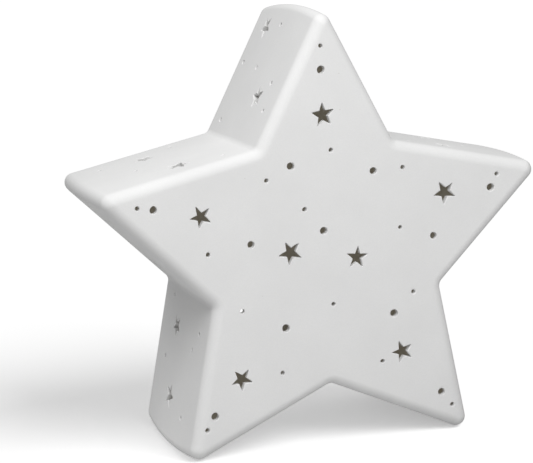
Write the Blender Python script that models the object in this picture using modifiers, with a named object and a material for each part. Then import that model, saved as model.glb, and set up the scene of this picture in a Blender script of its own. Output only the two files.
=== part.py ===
"""Tealight holder: a hollow, pierced porcelain star that stands on two of its five points.

The star is one cast shell with a front wall, a back wall and ten side walls. Stars and dots are
punched through the front and the sides. A shelf inside bridges the front and back walls over the
crotch between the legs, and carries a tealight, which goes in and out through an arched opening
in the back wall.

Metres, +Z up. The front faces -Y. The origin is on the floor, under the middle of the star.
"""

from math import acos, cos, pi, radians, sin, tan

import bmesh
import bpy
from mathutils import Matrix, Vector

MM = 0.001

# Corners of the star before rounding, on the front and back faces, from the star's centre (x, z).
# The right half is given, and the left half mirrors it.
TOP_TIP = (0.0, 104 * MM)
UPPER_NOTCH = (30 * MM, 47 * MM)
ARM_TIP = (97.5 * MM, 32 * MM)
LOWER_NOTCH = (50 * MM, -15.5 * MM)
LEG_TIP = (62.5 * MM, -81 * MM)
CROTCH = (0.0, -53 * MM)

DEPTH = 73 * MM
WALL = 2.5 * MM
TIP_RADIUS = 4 * MM
NOTCH_RADIUS = 3.5 * MM
FRONT_EDGE_RADIUS = 4.6 * MM
BACK_EDGE_RADIUS = 6 * MM
INNER_EDGE_RADIUS = 1.2 * MM
SHARPEST_TIP = 0.4 * MM
TIP_CROWN = 3.6 * MM        # how far each tip stands out at mid-depth, past its place on the faces
FOOT_FLAT = 1.2 * MM        # height ground off the two leg tips, so that they stand flat

# Motifs on the front wall: place from the star's centre in millimetres, and a turn in degrees.
FRONT_STARS = (
    (-1.5, 59.5, 5), (-54.5, 22, 25), (-17, 4, 28), (12, -0.5, -5), (52, 23.5, 30),
    (-39.5, -46.5, 36), (31.5, -42.5, 18),
)
FRONT_DOTS = (
    (-2, 78), (-74, 26.5), (73, 24), (-51.5, -60.5), (49, -62), (-16, 39.5), (20, 35), (-2.5, 12),
    (-34, 9), (46.5, 5.5), (-20, -27), (28, -25.5),
)
FRONT_PINHOLES = (
    (-2, 87.5), (-80.5, 27.5), (76, 29.5), (-55, -66), (54, -68), (1.5, 45), (-26.5, 34.5),
    (33, 35.5), (-10.5, 21.5), (31.5, 10.5), (-52, 6.5), (1, -19), (37, -17.5), (-38.5, -18),
    (-22, -45.5), (22.5, -45.5),
)

# Three motif layouts for the side walls: millimetres from the wall's notch towards its tip, then
# millimetres from mid-depth towards the back, and for a star a turn in degrees.
SIDE_STARS = (
    ((21, -10, 15), (51, 15, 40)),
    ((29, -20, 30), (35, 12, 10)),
    ((17, 9, 0), (46, 3, 20)),
)
SIDE_PINHOLES = (
    ((16, -23), (28, -19), (34, 25), (53, -2), (7, 22), (33, 5)),
    ((11, -25), (20, 23), (54, 14), (44, -8)),
    ((5, 19), (22, -16), (51, -16), (14, -22), (32, 18)),
)
# Layout on each side wall, from the wall left of the top tip round to the wall right of it.
SIDE_LAYOUT = (0, 1, 2, 2, 1, 1, 2, 2, 1, 0)

STAR_MOTIF_RADIUS = 5 * MM
STAR_MOTIF_WAIST = 0.42     # inner radius over outer radius of a punched star
DOT_RADIUS = 1.6 * MM
PINHOLE_RADIUS = 0.95 * MM
DOT_SIDES = 10
PINHOLE_SIDES = 8
CUT_OVERRUN = 2 * MM        # how far a cutter passes each face of the wall that it pierces

TIP_STEPS = 6
NOTCH_STEPS = 3
EDGE_STEPS = 3
BELT_STEPS = 4

GAP = 0.3 * MM              # clearance between pieces that rest on or against each other
SHELF_WIDTH = 50 * MM
SHELF_THICKNESS = 3.5 * MM
SHELF_CORNER_RADIUS = 4 * MM
OPENING_WIDTH = 46 * MM
OPENING_HEIGHT = 26 * MM
OPENING_RISE = 12 * MM      # height of the opening's oval head, out of its whole height
ARCH_STEPS = 20
GROUND_SIZE = 300 * MM      # a block under the floor, which grinds the feet flat
SMOOTH_ANGLE = 35           # degrees: sharper edges than this stay crisp in the shading

CUP_RADIUS = 19 * MM
CUP_HEIGHT = 15.5 * MM
CUP_WALL = 0.4 * MM
CUP_BASE_RADIUS = 18.2 * MM
CUP_RIM_RADIUS = 19.4 * MM
WAX_FILL = 12.5 * MM        # height of the wax inside the cup
WAX_BORE_RADIUS = 1.6 * MM
SUSTAINER_RADIUS = 6.5 * MM
SUSTAINER_PLATE = 0.4 * MM
SUSTAINER_NECK_RADIUS = 1.3 * MM
SUSTAINER_NECK_HEIGHT = 4 * MM
SUSTAINER_BORE_RADIUS = 0.95 * MM
WICK_RADIUS = 0.65 * MM
WICK_LENGTH = 19 * MM
TURNED_STEPS = 36
SMALL_TURNED_STEPS = 16


def star_corners(tip_rise):
    """The ten sharp corners, from the top tip counter-clockwise as seen from the front."""
    right = (UPPER_NOTCH, ARM_TIP, LOWER_NOTCH, LEG_TIP)
    left = [(-x, z) for x, z in right]
    corners = [Vector(p) for p in (TOP_TIP, *left, CROTCH, *reversed(right))]
    return [p + p.normalized() * tip_rise if i % 2 == 0 else p for i, p in enumerate(corners)]


def rounded_corner(corner, to_last, to_next, radius, steps):
    """Points of the arc that rounds a corner, from the side of the last corner to the next."""
    bisector = (to_last + to_next).normalized()
    half_angle = acos(to_last.dot(to_next)) / 2
    centre = corner + bisector * (radius / sin(half_angle))
    start = corner + to_last * (radius / tan(half_angle)) - centre
    end = corner + to_next * (radius / tan(half_angle)) - centre
    sweep = start.angle_signed(end)
    return [centre + Matrix.Rotation(-sweep * i / steps, 2) @ start for i in range(steps + 1)]


def star_outline(grow, tip_rise):
    """The rounded outline, moved outwards by grow. Tips are the even corners, notches the odd."""
    corners = star_corners(tip_rise)
    points = []
    for i, corner in enumerate(corners):
        to_last = (corners[i - 1] - corner).normalized()
        to_next = (corners[(i + 1) % len(corners)] - corner).normalized()
        half_angle = acos(to_last.dot(to_next)) / 2
        shift = (to_last + to_next).normalized() * (grow / sin(half_angle))
        if i % 2 == 0:
            radius = max(TIP_RADIUS + grow, SHARPEST_TIP)
            points += rounded_corner(corner - shift, to_last, to_next, radius, TIP_STEPS)
        else:
            radius = NOTCH_RADIUS - grow
            points += rounded_corner(corner + shift, to_last, to_next, radius, NOTCH_STEPS)
    return points


def crotch_crest(grow):
    """Height of the crotch from the star's centre, in the outline of a face that grows by this."""
    middle = [p for p in star_outline(grow, 0.0) if abs(p.x) < abs(CROTCH[1]) / 2]
    return max(p.y for p in middle if p.y < 0)


def tip_rise_at(y):
    return TIP_CROWN * (1 - (2 * y / DEPTH) ** 2)


def star_sections(inset):
    """(y, outline) of each section from front to back, for a star inset by this much all over."""
    half = DEPTH / 2 - inset
    front = max(FRONT_EDGE_RADIUS - inset, INNER_EDGE_RADIUS)
    back = max(BACK_EDGE_RADIUS - inset, INNER_EDGE_RADIUS)
    turns = [pi / 2 * i / EDGE_STEPS for i in range(EDGE_STEPS + 1)]
    belt_start = front - half
    belt_length = 2 * half - front - back
    levels = [(-half + front - front * sin(a), -front * (1 - cos(a))) for a in reversed(turns)]
    levels += [(belt_start + belt_length * i / BELT_STEPS, 0.0) for i in range(1, BELT_STEPS)]
    levels += [(half - back + back * sin(a), -back * (1 - cos(a))) for a in turns]
    return [(y, star_outline(grow - inset, tip_rise_at(y))) for y, grow in levels]


def loft(sections, centre_height):
    """One closed mesh through the sections, which all have the same number of points."""
    shape = bmesh.new()
    rings = [
        [shape.verts.new((p.x, y, p.y + centre_height)) for p in outline] for y, outline in sections
    ]
    count = len(rings[0])
    for ring, after in zip(rings, rings[1:]):
        for i in range(count):
            j = (i + 1) % count
            shape.faces.new((ring[i], ring[j], after[j], after[i]))
    shape.faces.new(rings[0])
    shape.faces.new(rings[-1])
    bmesh.ops.recalc_face_normals(shape, faces=shape.faces)
    return finished_mesh(shape, "star_loft")


def finished_mesh(shape, name):
    mesh = bpy.data.meshes.new(name)
    shape.to_mesh(mesh)
    shape.free()
    return mesh


def extruded_mesh(name, points, thickness):
    """A flat outline in XY, made solid by thickness about z = 0."""
    curve = bpy.data.curves.new(name, "CURVE")
    curve.dimensions = "2D"
    curve.fill_mode = "BOTH"
    curve.extrude = thickness / 2
    spline = curve.splines.new("POLY")
    spline.points.add(len(points) - 1)
    for target, (x, y) in zip(spline.points, points):
        target.co = (x, y, 0.0, 1.0)
    spline.use_cyclic_u = True
    guide = bpy.data.objects.new(name, curve)
    bpy.context.scene.collection.objects.link(guide)
    evaluated = guide.evaluated_get(bpy.context.evaluated_depsgraph_get())
    mesh = bpy.data.meshes.new_from_object(evaluated)
    bpy.data.objects.remove(guide)
    shape = bmesh.new()
    shape.from_mesh(mesh)
    bmesh.ops.remove_doubles(shape, verts=shape.verts, dist=0.001 * MM)
    bmesh.ops.recalc_face_normals(shape, faces=shape.faces)
    shape.to_mesh(mesh)
    shape.free()
    return mesh


def rod_mesh(radius, length, sides):
    shape = bmesh.new()
    bmesh.ops.create_cone(
        shape, cap_ends=True, segments=sides, radius1=radius, radius2=radius, depth=length
    )
    return finished_mesh(shape, "rod")


def star_motif_points():
    points = []
    for i in range(10):
        radius = STAR_MOTIF_RADIUS * (1 if i % 2 == 0 else STAR_MOTIF_WAIST)
        angle = pi / 2 + i * pi / 5
        points.append((radius * cos(angle), radius * sin(angle)))
    return points


def cutters_mesh(name, placed):
    """One mesh of many separate cutters, from (mesh, matrix) pairs."""
    shape = bmesh.new()
    for mesh, matrix in placed:
        first = len(shape.verts)
        shape.from_mesh(mesh)
        shape.verts.ensure_lookup_table()
        bmesh.ops.transform(shape, matrix=matrix, verts=shape.verts[first:])
    return finished_mesh(shape, name)


def front_cutter_mesh(centre_height):
    """Every cutter of the front wall. Each stands on the wall's mid-plane and faces -Y."""
    length = WALL + 2 * CUT_OVERRUN
    star = extruded_mesh("star_motif", star_motif_points(), length)
    dot = rod_mesh(DOT_RADIUS, length, DOT_SIDES)
    pinhole = rod_mesh(PINHOLE_RADIUS, length, PINHOLE_SIDES)
    wall_middle = WALL / 2 - DEPTH / 2
    face_front = Matrix.Rotation(radians(90), 4, "X")

    def place(x, z, turn=0):
        spot = Matrix.Translation((x * MM, wall_middle, z * MM + centre_height))
        return spot @ face_front @ Matrix.Rotation(radians(turn), 4, "Z")

    placed = [(star, place(x, z, turn)) for x, z, turn in FRONT_STARS]
    placed += [(dot, place(x, z)) for x, z in FRONT_DOTS]
    placed += [(pinhole, place(x, z)) for x, z in FRONT_PINHOLES]
    return cutters_mesh("front_motifs", placed)


def side_cutter_mesh(centre_height):
    """Every cutter of the ten side walls. Each points along its wall's outward normal."""
    length = WALL + 2 * CUT_OVERRUN
    star = extruded_mesh("star_motif", star_motif_points(), length)
    pinhole = rod_mesh(PINHOLE_RADIUS, length, PINHOLE_SIDES)
    placed = []
    for wall, layout in enumerate(SIDE_LAYOUT):
        stars = [(star, *motif) for motif in SIDE_STARS[layout]]
        pinholes = [(pinhole, *motif, 0) for motif in SIDE_PINHOLES[layout]]
        for mesh, from_notch, to_back, turn in stars + pinholes:
            corners = star_corners(tip_rise_at(to_back * MM))
            start = corners[wall]
            end = corners[(wall + 1) % len(corners)]
            along = (end - start).normalized()
            outward = Vector((along.y, -along.x))
            notch, to_tip = (end, -along) if wall % 2 == 0 else (start, along)
            spot = notch + to_tip * from_notch * MM - outward * WALL / 2
            columns = ((0, 1, 0), (along.x, 0, along.y), (outward.x, 0, outward.y))
            facing = Matrix(columns).transposed().to_4x4()
            centre = Matrix.Translation((spot.x, to_back * MM, spot.y + centre_height))
            placed.append((mesh, centre @ facing @ Matrix.Rotation(radians(turn), 4, "Z")))
    return cutters_mesh("side_motifs", placed)


def arch_points(sill):
    """The back opening's outline: a flat sill, upright sides and a low, half-oval head."""
    half_width = OPENING_WIDTH / 2
    spring = sill + OPENING_HEIGHT - OPENING_RISE
    head = [pi * i / ARCH_STEPS for i in range(ARCH_STEPS + 1)]
    arc = [(half_width * cos(a), spring + OPENING_RISE * sin(a)) for a in head]
    return [(half_width, sill), *arc, (-half_width, sill)]


def slab_points(width, depth, radius):
    """A rectangle about the origin with round corners."""
    steps = 4
    points = []
    for quarter, (sx, sy) in enumerate(((1, 1), (-1, 1), (-1, -1), (1, -1))):
        for i in range(steps + 1):
            a = pi / 2 * (quarter + i / steps)
            x = sx * (width / 2 - radius) + radius * cos(a)
            y = sy * (depth / 2 - radius) + radius * sin(a)
            points.append((x, y))
    return points


def principled(name, colour, roughness, metallic=0.0):
    material = bpy.data.materials.new(name)
    material.use_nodes = True
    shader = material.node_tree.nodes["Principled BSDF"]
    shader.inputs["Base Color"].default_value = (*colour, 1.0)
    shader.inputs["Roughness"].default_value = roughness
    shader.inputs["Metallic"].default_value = metallic
    return material


def add_object(name, mesh, collection):
    item = bpy.data.objects.new(name, mesh)
    collection.objects.link(item)
    return item


def add_cutter(name, mesh, collection):
    cutter = add_object(name, mesh, collection)
    cutter.hide_render = True
    cutter.display_type = "WIRE"
    return cutter


def cut(target, cutter):
    boolean = target.modifiers.new(cutter.name, "BOOLEAN")
    boolean.operation = "DIFFERENCE"
    boolean.solver = "EXACT"
    boolean.object = cutter


def turned(name, profile, steps, collection):
    """A profile of (radius, height) points turned about Z. Its outer side runs top to bottom."""
    mesh = bpy.data.meshes.new(name)
    vertices = [(r, 0.0, z) for r, z in profile]
    mesh.from_pydata(vertices, [(i, i + 1) for i in range(len(vertices) - 1)], [])
    item = add_object(name, mesh, collection)
    screw = item.modifiers.new("turn", "SCREW")
    screw.axis = "Z"
    screw.steps = steps
    screw.render_steps = steps
    screw.use_merge_vertices = True
    screw.merge_threshold = 0.001 * MM
    screw.use_smooth_shade = True
    return item


def add_star_shell(parts, cutters, centre_height, shelf_top):
    shell = add_object("star_shell", loft(star_sections(0.0), centre_height), parts)
    shell.data.shade_smooth()
    shell.data.set_sharp_from_angle(angle=radians(SMOOTH_ANGLE))
    arch = extruded_mesh("opening", arch_points(shelf_top), WALL + 4 * CUT_OVERRUN)
    upright = Matrix.Translation((0.0, DEPTH / 2, 0.0)) @ Matrix.Rotation(radians(90), 4, "X")
    arch.transform(upright)
    ground = bmesh.new()
    below = Matrix.Translation((0.0, 0.0, -GROUND_SIZE / 2))
    bmesh.ops.create_cube(ground, size=GROUND_SIZE, matrix=below)
    cut(shell, add_cutter("hollow", loft(star_sections(WALL), centre_height), cutters))
    cut(shell, add_cutter("back_opening", arch, cutters))
    cut(shell, add_cutter("front_motifs", front_cutter_mesh(centre_height), cutters))
    cut(shell, add_cutter("side_motifs", side_cutter_mesh(centre_height), cutters))
    cut(shell, add_cutter("ground", finished_mesh(ground, "ground"), cutters))
    return shell


def add_shelf(parts, shelf_top):
    depth = DEPTH - 2 * WALL - 2 * GAP
    points = slab_points(SHELF_WIDTH, depth, SHELF_CORNER_RADIUS)
    slab = extruded_mesh("candle_shelf", points, SHELF_THICKNESS)
    slab.transform(Matrix.Translation((0.0, 0.0, shelf_top - SHELF_THICKNESS / 2)))
    return add_object("candle_shelf", slab, parts)


def cup_profile():
    inner = CUP_RADIUS - CUP_WALL
    return [
        (0.0, CUP_WALL),
        (CUP_BASE_RADIUS - CUP_WALL, CUP_WALL),
        (inner, CUP_WALL + 1 * MM),
        (inner, CUP_HEIGHT),
        (CUP_RIM_RADIUS, CUP_HEIGHT),
        (CUP_RIM_RADIUS, CUP_HEIGHT - CUP_WALL),
        (CUP_RADIUS, CUP_HEIGHT - 2 * CUP_WALL),
        (CUP_RADIUS, 1 * MM),
        (CUP_BASE_RADIUS, 0.0),
        (0.0, 0.0),
    ]


def wax_profile():
    """A ring about the wick, hollowed underneath for the sustainer. The profile is closed."""
    floor = CUP_WALL + GAP
    side = CUP_RADIUS - CUP_WALL - GAP
    top = CUP_WALL + WAX_FILL
    pocket_radius = SUSTAINER_RADIUS + GAP
    pocket_top = floor + SUSTAINER_PLATE + GAP
    return [
        (WAX_BORE_RADIUS, pocket_top),
        (WAX_BORE_RADIUS, top - 0.8 * MM),
        (WAX_BORE_RADIUS + 2 * MM, top),
        (side, top),
        (side, floor + 1 * MM),
        (CUP_BASE_RADIUS - CUP_WALL - GAP, floor),
        (pocket_radius, floor),
        (pocket_radius, pocket_top),
        (WAX_BORE_RADIUS, pocket_top),
    ]


def sustainer_profile():
    floor = CUP_WALL + GAP
    plate_top = floor + SUSTAINER_PLATE
    neck_top = floor + SUSTAINER_NECK_HEIGHT
    return [
        (SUSTAINER_BORE_RADIUS, floor),
        (SUSTAINER_BORE_RADIUS, neck_top),
        (SUSTAINER_NECK_RADIUS, neck_top),
        (SUSTAINER_NECK_RADIUS, plate_top),
        (SUSTAINER_RADIUS, plate_top),
        (SUSTAINER_RADIUS, floor),
        (SUSTAINER_BORE_RADIUS, floor),
    ]


def wick_profile():
    foot = CUP_WALL + GAP
    top = foot + WICK_LENGTH
    return [
        (0.0, top),
        (WICK_RADIUS * 0.6, top),
        (WICK_RADIUS, top - 0.5 * MM),
        (WICK_RADIUS, foot),
        (0.0, foot),
    ]


def add_tealight(parts, shelf_top):
    """The four pieces of the tealight, on an empty at the foot of the cup, on the slide's axis."""
    seat = bpy.data.objects.new("tealight_seat", None)
    seat.location = (0.0, 0.0, shelf_top + GAP)
    parts.objects.link(seat)
    aluminium = principled("aluminium", (0.80, 0.80, 0.81), 0.3, 1.0)
    wax = principled("wax", (0.90, 0.88, 0.82), 0.45)
    tinned_steel = principled("tinned_steel", (0.62, 0.62, 0.62), 0.35, 1.0)
    cotton = principled("cotton", (0.88, 0.86, 0.80), 0.9)
    pieces = {
        "tealight_cup": (cup_profile(), TURNED_STEPS, aluminium),
        "tealight_wax": (wax_profile(), TURNED_STEPS, wax),
        "wick_sustainer": (sustainer_profile(), SMALL_TURNED_STEPS, tinned_steel),
        "wick": (wick_profile(), SMALL_TURNED_STEPS, cotton),
    }
    for name, (profile, steps, material) in pieces.items():
        piece = turned(name, profile, steps, parts)
        piece.data.materials.append(material)
        piece.parent = seat


def main():
    for item in list(bpy.data.objects):
        bpy.data.objects.remove(item)
    parts = bpy.data.collections.new("tealight_holder")
    cutters = bpy.data.collections.new("cutters")
    for collection in (parts, cutters):
        bpy.context.scene.collection.children.link(collection)

    outer = star_outline(0.0, TIP_CROWN)
    centre_height = -min(point.y for point in outer) - FOOT_FLAT
    crest = crotch_crest(-BACK_EDGE_RADIUS)
    shelf_top = centre_height + crest + GAP + SHELF_THICKNESS

    bisque = principled("bisque_porcelain", (0.80, 0.80, 0.79), 0.75)
    shell = add_star_shell(parts, cutters, centre_height, shelf_top)
    shell.data.materials.append(bisque)
    shelf = add_shelf(parts, shelf_top)
    shelf.data.materials.append(bisque)
    add_tealight(parts, shelf_top)


main()
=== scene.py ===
"""Finished pieces and studio stage of a pierced porcelain star that holds a tealight.

Sizes are in metres, +Z is up, and the star's front face looks along -Y. The star and its shelf
belong to the body "holder". The tealight, which lifts out through the arch in the back wall,
is the body "tealight".
"""

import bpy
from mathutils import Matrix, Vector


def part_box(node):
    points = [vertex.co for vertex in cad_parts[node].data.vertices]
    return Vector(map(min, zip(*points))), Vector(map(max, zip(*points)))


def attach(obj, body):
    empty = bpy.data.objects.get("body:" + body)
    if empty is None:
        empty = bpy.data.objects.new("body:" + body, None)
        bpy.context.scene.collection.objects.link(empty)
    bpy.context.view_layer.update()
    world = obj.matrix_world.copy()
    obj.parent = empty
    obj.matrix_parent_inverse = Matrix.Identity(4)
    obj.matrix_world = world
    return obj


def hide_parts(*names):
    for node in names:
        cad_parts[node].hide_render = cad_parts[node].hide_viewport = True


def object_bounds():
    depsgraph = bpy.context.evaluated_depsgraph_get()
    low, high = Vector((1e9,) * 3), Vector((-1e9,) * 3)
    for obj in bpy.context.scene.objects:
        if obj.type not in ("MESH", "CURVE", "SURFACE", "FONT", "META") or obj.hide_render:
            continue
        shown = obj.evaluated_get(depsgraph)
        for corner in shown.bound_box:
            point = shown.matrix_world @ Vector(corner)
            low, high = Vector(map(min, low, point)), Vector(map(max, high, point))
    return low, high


bl_info = {
    "name": "Tealight Star",
    "version": (1, 0, 0),
    "blender": (4, 5, 0),
    "location": "View3D > Sidebar > Tealight Star",
    "description": "Makes a pierced porcelain star, its tealight and a small studio stage",
    "category": "Add Mesh",
}

from math import acos, cos, exp, pi, radians, sin, tan

import bmesh
import bpy
from bpy.props import FloatProperty, FloatVectorProperty, IntProperty, PointerProperty
from mathutils import Matrix, Vector

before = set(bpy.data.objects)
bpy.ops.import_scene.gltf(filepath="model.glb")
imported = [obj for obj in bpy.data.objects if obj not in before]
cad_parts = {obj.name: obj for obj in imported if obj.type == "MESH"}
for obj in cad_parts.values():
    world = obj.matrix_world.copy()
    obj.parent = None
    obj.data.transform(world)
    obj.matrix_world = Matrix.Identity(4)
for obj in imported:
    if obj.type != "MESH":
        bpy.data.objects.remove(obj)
CAD_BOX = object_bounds()
MM = 0.001

# The star's sharp corners, from its centre (x, z): the right half, which the left half mirrors.
TOP_TIP = (0.0, 104 * MM)
UPPER_NOTCH = (30 * MM, 47 * MM)
ARM_TIP = (97.5 * MM, 32 * MM)
LOWER_NOTCH = (50 * MM, -15.5 * MM)
LEG_TIP = (62.5 * MM, -81 * MM)
CROTCH = (0.0, -53 * MM)

TIP_RADIUS = 4 * MM
NOTCH_RADIUS = 3.5 * MM
SHARPEST_TIP = 0.4 * MM
TIP_CROWN = 3.6 * MM        # how far the tips stand out at mid-depth
FRONT_EDGE_RADIUS = 4.6 * MM
BACK_EDGE_RADIUS = 6 * MM
INNER_EDGE_RADIUS = 1.2 * MM
SKIN_INSET = 0.03 * MM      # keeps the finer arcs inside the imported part's box
OUTER_STEPS = {"tip": 14, "notch": 9, "edge": 9, "belt": 16}
INNER_STEPS = {"tip": 6, "notch": 5, "edge": 3, "belt": 8}
GROUND_BLOCK = 0.3          # a block under the floor, which cuts the feet flat

# Motifs on the front: millimetres from the star's centre, and for a star its turn in degrees.
FRONT_STARS = (
    (-1.5, 59.5, 5), (-54.5, 22, 25), (-17, 4, 28), (12, -0.5, -5), (52, 23.5, 30),
    (-39.5, -46.5, 36), (31.5, -42.5, 18),
)
FRONT_DOTS = (
    (-2, 78), (-74, 26.5), (73, 24), (-51.5, -60.5), (49, -62), (-16, 39.5), (20, 35), (-2.5, 12),
    (-34, 9), (46.5, 5.5), (-20, -27), (28, -25.5),
)
FRONT_PINHOLES = (
    (-2, 87.5), (-80.5, 27.5), (76, 29.5), (-55, -66), (54, -68), (1.5, 45), (-26.5, 34.5),
    (33, 35.5), (-10.5, 21.5), (31.5, 10.5), (-52, 6.5), (1, -19), (37, -17.5), (-38.5, -18),
    (-22, -45.5), (22.5, -45.5),
)
# Three layouts for the side walls: millimetres from the wall's notch towards its tip, millimetres
# from mid-depth towards the back, and for a star its turn in degrees.
SIDE_STARS = (
    ((21, -10, 15), (51, 15, 40)),
    ((29, -20, 30), (35, 12, 10)),
    ((17, 9, 0), (46, 3, 20)),
)
SIDE_PINHOLES = (
    ((16, -23), (28, -19), (34, 25), (53, -2), (7, 22), (33, 5)),
    ((11, -25), (20, 23), (54, 14), (44, -8)),
    ((5, 19), (22, -16), (51, -16), (14, -22), (32, 18)),
)
SIDE_LAYOUT = (0, 1, 2, 2, 1, 1, 2, 2, 1, 0)
STAR_MOTIF, DOT_MOTIF, PINHOLE_MOTIF = 0, 1, 2

FLARE_STEPS = 6
FLARE_TURN = radians(75)    # the rim's rounding stops short of flush, which keeps the cut clean
STAR_SIDES = 60
DOT_SIDES = 28
PINHOLE_SIDES = 20

STAGE_MIDDLE = 130 * MM     # height of the point that the lights are aimed at
LIGHT_DISTANCE = 0.7
SUN_SPREAD = radians(40)
SOFT_BOX_SIZE = 0.5
BOARD_DROP = 0.5 * MM       # how far the hidden board lies under the sweep
CAMERA_PLACE = (-255.1 * MM, -705.5 * MM, 143.2 * MM)  # from the star's centre
CAMERA_YAW = radians(-19.06)
CAMERA_PITCH = radians(8.94)
CAMERA_ROLL = radians(-1.70)


# --- Settings -------------------------------------------------------------------------------


def length(name, description, default):
    return FloatProperty(
        name=name, description=description, default=default, min=0.0, subtype="DISTANCE",
        unit="LENGTH", precision=5,
    )


def colour(name, description, default):
    return FloatVectorProperty(
        name=name, description=description, default=default, min=0.0, max=1.0, size=3,
        subtype="COLOR",
    )


class StarSettings(bpy.types.PropertyGroup):
    """Sizes and colours of the porcelain star."""

    wall: length("Wall", "Thickness of the cast wall", 2.5 * MM)
    rim_radius: length("Rim Radius", "Rounding on the outer rim of each pierced motif", 0.4 * MM)
    star_radius: length("Star Radius", "Middle to tip of a pierced star", 5.1 * MM)
    star_waist: length("Star Waist", "Middle to inner corner of a pierced star", 2.1 * MM)
    dot_radius: length("Dot Radius", "Radius of a pierced dot", 1.55 * MM)
    pinhole_radius: length("Pinhole Radius", "Radius of a pinhole", 0.9 * MM)
    unevenness: length("Unevenness", "How far the hand piercing wanders", 0.22 * MM)
    opening_width: length("Opening Width", "Width of the arch in the back wall", 46 * MM)
    opening_height: length("Opening Height", "Height of the arch in the back wall", 26 * MM)
    opening_rise: length("Opening Rise", "Height of the arch's oval head", 12 * MM)
    seed: IntProperty(name="Seed", description="Changes the hand of the piercing", default=4)
    bisque: colour("Bisque", "Unglazed porcelain, outside", (0.76, 0.76, 0.757))
    # Inside: the porcelain's colour, made lighter and warmer than the outside as painted light that
    # brightens and warms the shade inside the star.
    bisque_inside_painted_light: colour("Inside", "Unglazed porcelain, inside", (0.80, 0.785, 0.745))
    # Light Through: painted light, a faint warm glow of the inside and the shelf that stands in for the
    # light reaching the inside of the star.
    through: FloatProperty(
        name="Light Through", description="Glow of the thin wall inside", default=0.024
    )


class TealightSettings(bpy.types.PropertyGroup):
    """Sizes and colours of the tealight."""

    rim_bead: length("Rim Bead", "Radius of the cup's rolled rim", 0.38 * MM)
    meniscus: length("Meniscus", "How far the wax climbs the cup", 0.55 * MM)
    strands: IntProperty(name="Strands", description="Strands each way round the wick", default=3)
    strand_radius: length("Strand Radius", "Radius of one strand of the wick", 0.2 * MM)
    aluminium: colour("Aluminium", "Drawn foil of the cup", (0.82, 0.82, 0.83))
    wax: colour("Wax", "White paraffin", (0.88, 0.86, 0.8))
    tin: colour("Tin", "Tinned sheet of the wick's foot", (0.6, 0.6, 0.6))
    cotton: colour("Cotton", "Waxed cotton of the wick", (0.84, 0.81, 0.73))


class StageSettings(bpy.types.PropertyGroup):
    """The floor, the light and the camera."""

    floor: colour("Floor", "Plain pale sweep", (0.93, 0.93, 0.93))
    floor_glow: FloatProperty(name="Glow", description="Light up through the sweep", default=0.41)
    bounce: colour("Bounce", "The darker board that the star sees", (0.62, 0.62, 0.62))
    key: FloatProperty(name="Key", description="Watts of the soft box above the camera", default=4.05)
    side: FloatProperty(name="Side", description="Soft light from the left", default=0.95)
    sweep_light: FloatProperty(name="Sweep Light", description="Light for the sweep only", default=1.85)
    room: FloatProperty(name="Room", description="Strength of the light from all round", default=0.25)
    lens: FloatProperty(name="Lens", description="Focal length in mm", default=120.2)


# --- Shapes in plain mesh code --------------------------------------------------------------


def star_corners(tip_rise):
    """The ten sharp corners, from the top tip counter-clockwise as seen from the front."""
    right = (UPPER_NOTCH, ARM_TIP, LOWER_NOTCH, LEG_TIP)
    left = [(-x, z) for x, z in right]
    corners = [Vector(p) for p in (TOP_TIP, *left, CROTCH, *reversed(right))]
    return [p + p.normalized() * tip_rise if i % 2 == 0 else p for i, p in enumerate(corners)]


def rounded_corner(corner, to_last, to_next, radius, steps):
    bisector = (to_last + to_next).normalized()
    half_angle = acos(to_last.dot(to_next)) / 2
    centre = corner + bisector * (radius / sin(half_angle))
    start = corner + to_last * (radius / tan(half_angle)) - centre
    end = corner + to_next * (radius / tan(half_angle)) - centre
    sweep = start.angle_signed(end)
    return [centre + Matrix.Rotation(-sweep * i / steps, 2) @ start for i in range(steps + 1)]


def star_outline(grow, tip_rise, steps):
    """The rounded outline, moved outwards by grow. Tips are the even corners, notches the odd."""
    corners = star_corners(tip_rise)
    points = []
    for i, corner in enumerate(corners):
        to_last = (corners[i - 1] - corner).normalized()
        to_next = (corners[(i + 1) % len(corners)] - corner).normalized()
        half_angle = acos(to_last.dot(to_next)) / 2
        shift = (to_last + to_next).normalized() * (grow / sin(half_angle))
        if i % 2 == 0:
            radius = max(TIP_RADIUS + grow, SHARPEST_TIP)
            points += rounded_corner(corner - shift, to_last, to_next, radius, steps["tip"])
        else:
            radius = NOTCH_RADIUS - grow
            points += rounded_corner(corner + shift, to_last, to_next, radius, steps["notch"])
    return points


def tip_rise_at(y, depth):
    return TIP_CROWN * (1 - (2 * y / depth) ** 2)


def star_sections(inset, depth, steps):
    """(y, outline) from front to back of a star inset by this much all over."""
    half = depth / 2 - inset
    front = max(FRONT_EDGE_RADIUS - inset, INNER_EDGE_RADIUS)
    back = max(BACK_EDGE_RADIUS - inset, INNER_EDGE_RADIUS)
    turns = [pi / 2 * i / steps["edge"] for i in range(steps["edge"] + 1)]
    belt_length = 2 * half - front - back
    levels = [(-half + front - front * sin(a), -front * (1 - cos(a))) for a in reversed(turns)]
    for i in range(1, steps["belt"]):
        levels.append((front - half + belt_length * i / steps["belt"], 0.0))
    levels += [(half - back + back * sin(a), -back * (1 - cos(a))) for a in turns]
    return [(y, star_outline(grow - inset, tip_rise_at(y, depth), steps)) for y, grow in levels]


def loft(rings):
    """One closed mesh through rings of points that all have the same count."""
    shape = bmesh.new()
    rows = [[shape.verts.new(point) for point in ring] for ring in rings]
    count = len(rows[0])
    for row, after in zip(rows, rows[1:]):
        for i in range(count):
            j = (i + 1) % count
            shape.faces.new((row[i], row[j], after[j], after[i]))
    shape.faces.new(rows[0])
    shape.faces.new(rows[-1])
    return closed_mesh(shape)


def closed_mesh(shape):
    bmesh.ops.recalc_face_normals(shape, faces=shape.faces)
    mesh = bpy.data.meshes.new("shape")
    shape.to_mesh(mesh)
    shape.free()
    return mesh


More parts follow.
